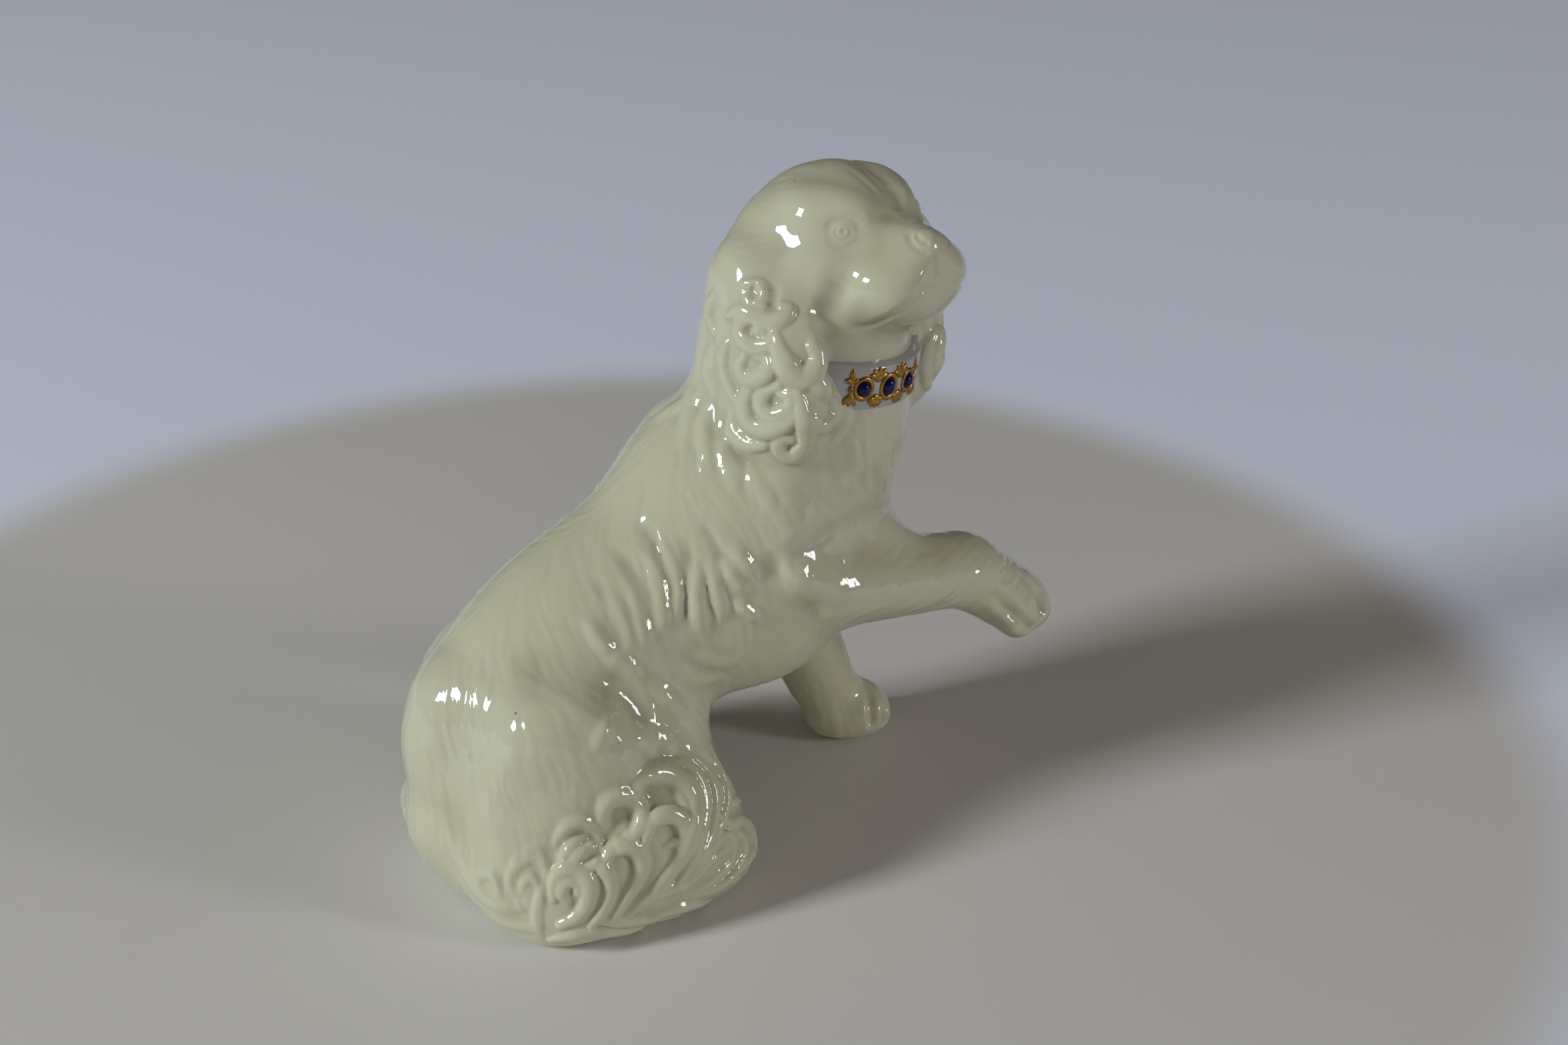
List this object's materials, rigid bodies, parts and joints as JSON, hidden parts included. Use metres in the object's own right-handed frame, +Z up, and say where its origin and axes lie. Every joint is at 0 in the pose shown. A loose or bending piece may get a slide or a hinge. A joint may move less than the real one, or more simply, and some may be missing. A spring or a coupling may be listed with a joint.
{
  "type": "spaniel figurine",
  "caption": "Glazed porcelain figurine of a sitting spaniel with one forepaw raised, head turned to its right, curled ears and feathered hind legs, and a gilt collar set with blue stones.",
  "frame": {"origin": "on the flat base under the dog's trunk, in its middle plane", "axes": "+X the way the trunk faces, +Y to the dog's left, +Z up"},
  "size_m": [0.1081, 0.0594, 0.1097],
  "materials": {
    "porcelain": "gloss glaze over warm white porcelain",
    "band": "gloss glaze over cool white porcelain",
    "enamel": "gloss cobalt blue enamel, fired in drops",
    "gilt": "fired gold, satin"
  },
  "bodies": {
    "root": {"body": "porcelain", "head": "porcelain", "right_ear": "porcelain", "left_ear": "porcelain", "raised_foreleg": "porcelain", "standing_foreleg": "porcelain", "right_hind_foot": "porcelain", "left_hind_foot": "porcelain", "collar_band": "band", "front_stone": "enamel", "right_stone": "enamel", "left_stone": "enamel", "front_ring": "gilt", "right_ring": "gilt", "left_ring": "gilt", "upper_right_palmette": "gilt", "lower_right_palmette": "gilt", "upper_left_palmette": "gilt", "lower_left_palmette": "gilt", "right_end_fleur": "gilt", "left_end_fleur": "gilt"}
  },
  "joints": []
}
